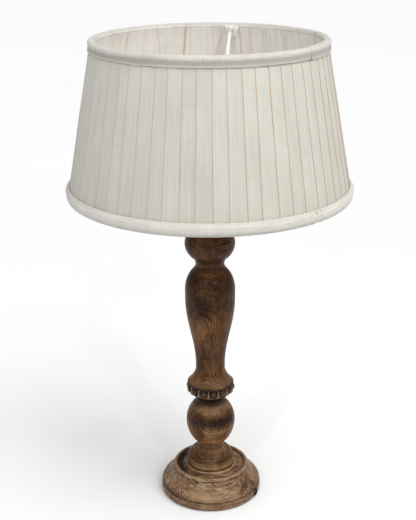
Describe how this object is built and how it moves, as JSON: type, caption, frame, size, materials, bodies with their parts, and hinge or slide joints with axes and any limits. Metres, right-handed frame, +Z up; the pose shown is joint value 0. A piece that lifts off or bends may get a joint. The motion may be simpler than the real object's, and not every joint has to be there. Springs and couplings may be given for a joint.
{
  "type": "table lamp with shade",
  "caption": "Table lamp: a turned wooden baluster stand with a beaded collar, a lampholder and bulb, and a pleated cloth cone shade on a wire carrier.",
  "frame": {"origin": "middle of the felt under the base, on the surface that the lamp stands on", "axes": "+Z up the column's axis, -Y the side that faces the viewer, +X to the viewer's right"},
  "size_m": [0.3498, 0.3498, 0.6023],
  "materials": {
    "turned_wood": "satin lacquer, stained, burnt dark in the grooves",
    "dark_wood": "satin lacquer, dark stain",
    "felt": "pressed felt",
    "steel": "zinc plated",
    "brass": "plain",
    "black_rubber": "moulded",
    "flex_sheath": "smooth sheath",
    "live_core": "smooth",
    "neutral_core": "smooth",
    "holder_plastic": "moulded",
    "ceramic_white": "glazed, stands in for ceramic",
    "white_wire": "white powder coat",
    "pleated_linen": "off-white linen weave, knife pleats",
    "lining_cloth": "thin gathered lining",
    "trim_cloth": "rolled self-fabric edge",
    "opal_glass": "frosted inside",
    "nickel": "plated",
    "vitrite": "black glass insulator",
    "clear_glass": "clear",
    "tungsten": "drawn wire"
  },
  "bodies": {
    "stand": {"base_felt": "felt", "base_plate": "turned_wood", "rod_nut": "steel", "rod_washer": "steel", "threaded_rod": "steel", "lower_baluster": "turned_wood", "bead_collar": "dark_wood", "upper_baluster": "turned_wood", "cap_ball": "dark_wood", "column_washer": "brass", "holder_locknut": "brass", "cable_gland": "black_rubber", "inner_flex": "flex_sheath", "live_lead": "live_core", "neutral_lead": "neutral_core", "holder_cap": "holder_plastic", "holder_shell": "holder_plastic", "holder_insert": "ceramic_white", "screw_sleeve": "brass", "centre_contact": "brass", "side_contact": "brass", "terminal_screws": "steel"},
    "lock_ring": {"lock_ring": "holder_plastic"},
    "shade": {"fitter_ring": "white_wire", "top_wire_ring": "white_wire", "bottom_wire_ring": "white_wire", "carrier_arm_1": "white_wire", "carrier_arm_2": "white_wire", "carrier_arm_3": "white_wire", "frame_strut_1": "white_wire", "frame_strut_2": "white_wire", "frame_strut_3": "white_wire", "frame_strut_4": "white_wire", "frame_strut_5": "white_wire", "frame_strut_6": "white_wire", "shade_cover": "pleated_linen", "shade_lining": "lining_cloth", "top_trim": "trim_cloth", "bottom_trim": "trim_cloth"},
    "bulb": {"bulb_glass": "opal_glass", "bulb_cap": "nickel", "bulb_insulator": "vitrite", "bulb_contact": "nickel", "bulb_stem": "clear_glass", "bulb_filament": "tungsten"}
  },
  "joints": [
    {"name": "shade_turn", "type": "hinge", "parent": "stand", "child": "shade", "pos_m": [0, 0, 0.4295], "axis": [0, 0, 1], "continuous": true},
    {"name": "lock_ring_turn", "type": "hinge", "parent": "stand", "child": "lock_ring", "pos_m": [0, 0, 0.4318], "axis": [0, 0, 1], "range_deg": [0, 960]},
    {"name": "bulb_turn", "type": "hinge", "parent": "stand", "child": "bulb", "pos_m": [0, 0, 0.427], "axis": [0, 0, 1], "range_deg": [0, 1800]}
  ]
}
